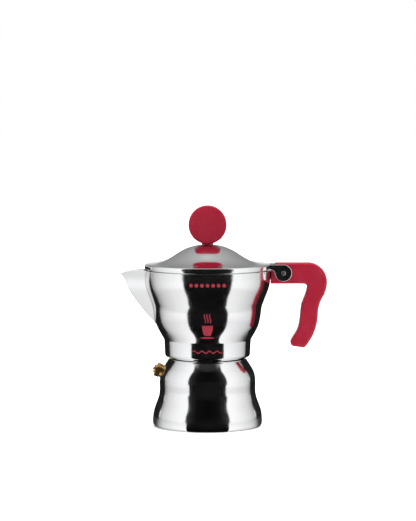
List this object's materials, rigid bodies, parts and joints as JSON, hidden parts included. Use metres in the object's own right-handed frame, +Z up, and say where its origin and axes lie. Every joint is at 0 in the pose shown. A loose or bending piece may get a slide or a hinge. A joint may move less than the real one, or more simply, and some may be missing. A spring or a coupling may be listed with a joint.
{
  "type": "moka pot",
  "caption": "Small stovetop espresso pot with a wavy polished body, a V spout, a domed hinged lid with an upright disc knob, and a flat hooked handle.",
  "frame": {"origin": "centre of the boiler's flat base, on the surface that the pot stands on", "axes": "+Z up along the body's axis; +X from the axis towards the handle and hinge, -X towards the spout and safety valve; +Y is to the left of someone who faces along +X"},
  "size_m": [0.1368, 0.083, 0.146],
  "materials": {
    "polished_aluminium": "mirror polished",
    "plain_aluminium": "satin, as drawn",
    "brass": "machined",
    "steel": "bright",
    "silicone": "matte",
    "fibre": "pressed fibre sealing ring",
    "red_plastic": "fine satin moulding"
  },
  "bodies": {
    "base": {"boiler": "polished_aluminium", "valve_body": "brass", "valve_washer": "fibre", "valve_retainer": "brass", "valve_spring": "steel"},
    "piston": {"valve_piston": "brass", "valve_seal": "silicone"},
    "basket": {"funnel": "plain_aluminium", "funnel_stem": "plain_aluminium", "funnel_filter": "plain_aluminium"},
    "seal": {"gasket": "silicone"},
    "shower": {"filter_plate": "steel"},
    "upper": {"collector": "polished_aluminium", "handle": "red_plastic", "hinge_pin": "steel"},
    "cover": {"lid": "polished_aluminium", "knob": "red_plastic", "knob_insert": "brass", "knob_washer": "steel", "knob_screw": "steel"}
  },
  "joints": [
    {"name": "valve_lift", "type": "slide", "parent": "base", "child": "piston", "axis": [-0.9342, 0, 0.3567], "range_m": [0, 0.001], "stiffness_N_per_m": 600, "springref_m": -0.002, "deforming": ["valve_spring"]},
    {"name": "basket_lift", "type": "slide", "parent": "base", "child": "basket", "axis": [0, 0, 1], "range_m": [0, 0.06]},
    {"name": "collector_lift", "type": "slide", "parent": "basket", "child": "seal", "axis": [0, 0, 1], "range_m": [0, 0.06]},
    {"name": "collector_rise", "type": "slide", "parent": "seal", "child": "shower", "axis": [0, 0, 1], "range_m": [0, 0.0068]},
    {"name": "collector_unscrew", "type": "hinge", "parent": "shower", "child": "upper", "pos_m": [0, 0, 0.05], "axis": [0, 0, 1], "range_deg": [0, 810]},
    {"name": "lid_open", "type": "hinge", "parent": "upper", "child": "cover", "pos_m": [0.05, 0, 0.1018], "axis": [0, 1, 0], "range_deg": [0, 103]}
  ],
  "couplings": [
    {"joint": "collector_rise", "follows": "collector_unscrew", "m_per_rad": 0.00047746}
  ]
}
